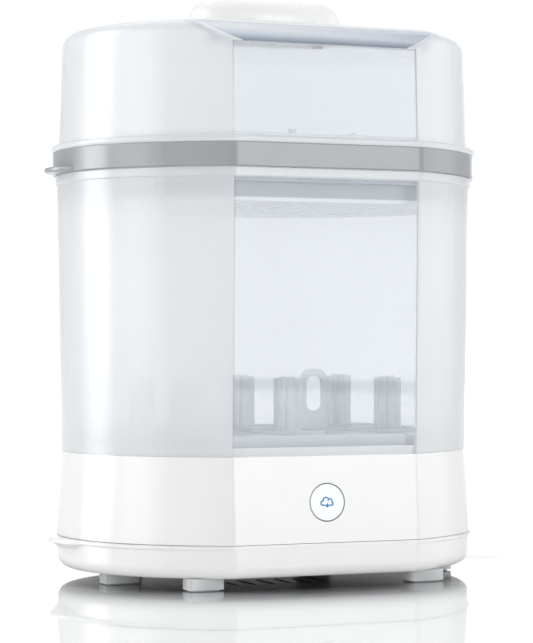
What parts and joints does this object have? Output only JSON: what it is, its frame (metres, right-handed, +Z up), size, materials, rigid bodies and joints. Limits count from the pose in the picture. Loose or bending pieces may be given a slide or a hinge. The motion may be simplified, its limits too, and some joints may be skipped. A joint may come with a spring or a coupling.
{
  "type": "bottle sterilizer",
  "caption": "Free-standing electric steam steriliser for baby bottles: heated base with push button, clear-fronted container, upper tray with grey band, lid with grip.",
  "frame": {"origin": "middle of the footprint box, on the surface the foot pads stand on", "axes": "+Z up, the flat front with the button faces -Y, +X to the right seen from the front"},
  "size_m": [0.2812, 0.214, 0.3536],
  "materials": {
    "white_base": "satin gloss moulded polypropylene, warm white",
    "foot_plastic": "natural translucent moulding",
    "pad_rubber": "soft grey, matt",
    "screw_steel": "zinc plated",
    "plate_steel": "spun stainless, fine rings",
    "silicone": "white silicone, matt",
    "spreader_aluminium": "cast, matt",
    "element_steel": "drawn tube, slightly blued",
    "zinc_steel": "galvanised sheet",
    "thermostat_body": "phenolic, matt",
    "fuse_metal": "drawn can, satin",
    "board_green": "solder mask, satin",
    "black_plastic": "moulded, satin",
    "led_lens": "cast clear lens",
    "relay_blue": "moulded case",
    "capacitor_foil": "sleeved can",
    "terminal_nylon": "natural nylon",
    "lead_pvc": "pvc sleeve",
    "gland_plastic": "white nylon, fine texture",
    "button_silver": "pearl silver, satin",
    "icon_blue": "printed inlay",
    "frosted_shell": "frosted translucent polypropylene",
    "clear_window": "polished clear panel",
    "rack_plastic": "natural polypropylene",
    "tray_plastic": "natural translucent polypropylene",
    "band_grey": "satin grey moulding",
    "brow_plastic": "polished translucent panel",
    "grip_white": "satin white moulding"
  },
  "bodies": {
    "base": {"base_bottom_shell": "white_base", "base_top_shell": "white_base", "basin_floor": "white_base", "feet": "foot_plastic", "foot_pads": "pad_rubber", "base_screws": "screw_steel", "heating_plate": "plate_steel", "plate_seal": "silicone", "heat_spreader": "spreader_aluminium", "heating_element": "element_steel", "plate_clamp": "zinc_steel", "clamp_screws": "screw_steel", "thermostat": "thermostat_body", "thermal_fuse": "fuse_metal", "control_board": "board_green", "board_screws": "screw_steel", "tact_switch": "black_plastic", "status_led": "led_lens", "relay": "relay_blue", "power_module": "black_plastic", "capacitor": "capacitor_foil", "buzzer": "black_plastic", "terminal_block": "terminal_nylon", "internal_leads": "lead_pvc", "cord_gland": "gland_plastic"},
    "button": {"button_cap": "button_silver", "button_icon": "icon_blue", "button_key_pad": "silicone"},
    "rack": {"bottle_rack": "rack_plastic", "rack_skirt": "rack_plastic", "rack_pegs": "rack_plastic", "rack_legs": "rack_plastic", "rack_loops": "rack_plastic"},
    "container": {"container_shell": "frosted_shell", "container_window": "clear_window"},
    "tray": {"tray": "tray_plastic", "tray_band": "band_grey", "teat_stand": "tray_plastic"},
    "lid": {"lid_shell": "frosted_shell", "lid_window": "clear_window", "lid_brow": "brow_plastic", "lid_grip": "grip_white", "grip_screws": "screw_steel"}
  },
  "joints": [
    {"name": "button_press", "type": "slide", "parent": "base", "child": "button", "axis": [0, 0.9985, -0.0553], "range_m": [0, 0.0012], "stiffness_N_per_m": 1500},
    {"name": "rack_lift", "type": "slide", "parent": "base", "child": "rack", "axis": [0, 0, 1], "range_m": [0, 0.095]},
    {"name": "container_lift", "type": "slide", "parent": "base", "child": "container", "axis": [0, 0, 1], "range_m": [0, 0.2]},
    {"name": "tray_lift", "type": "slide", "parent": "container", "child": "tray", "axis": [0, 0, 1], "range_m": [0, 0.06]},
    {"name": "lid_lift", "type": "slide", "parent": "tray", "child": "lid", "axis": [0, 0, 1], "range_m": [0, 0.1]}
  ]
}
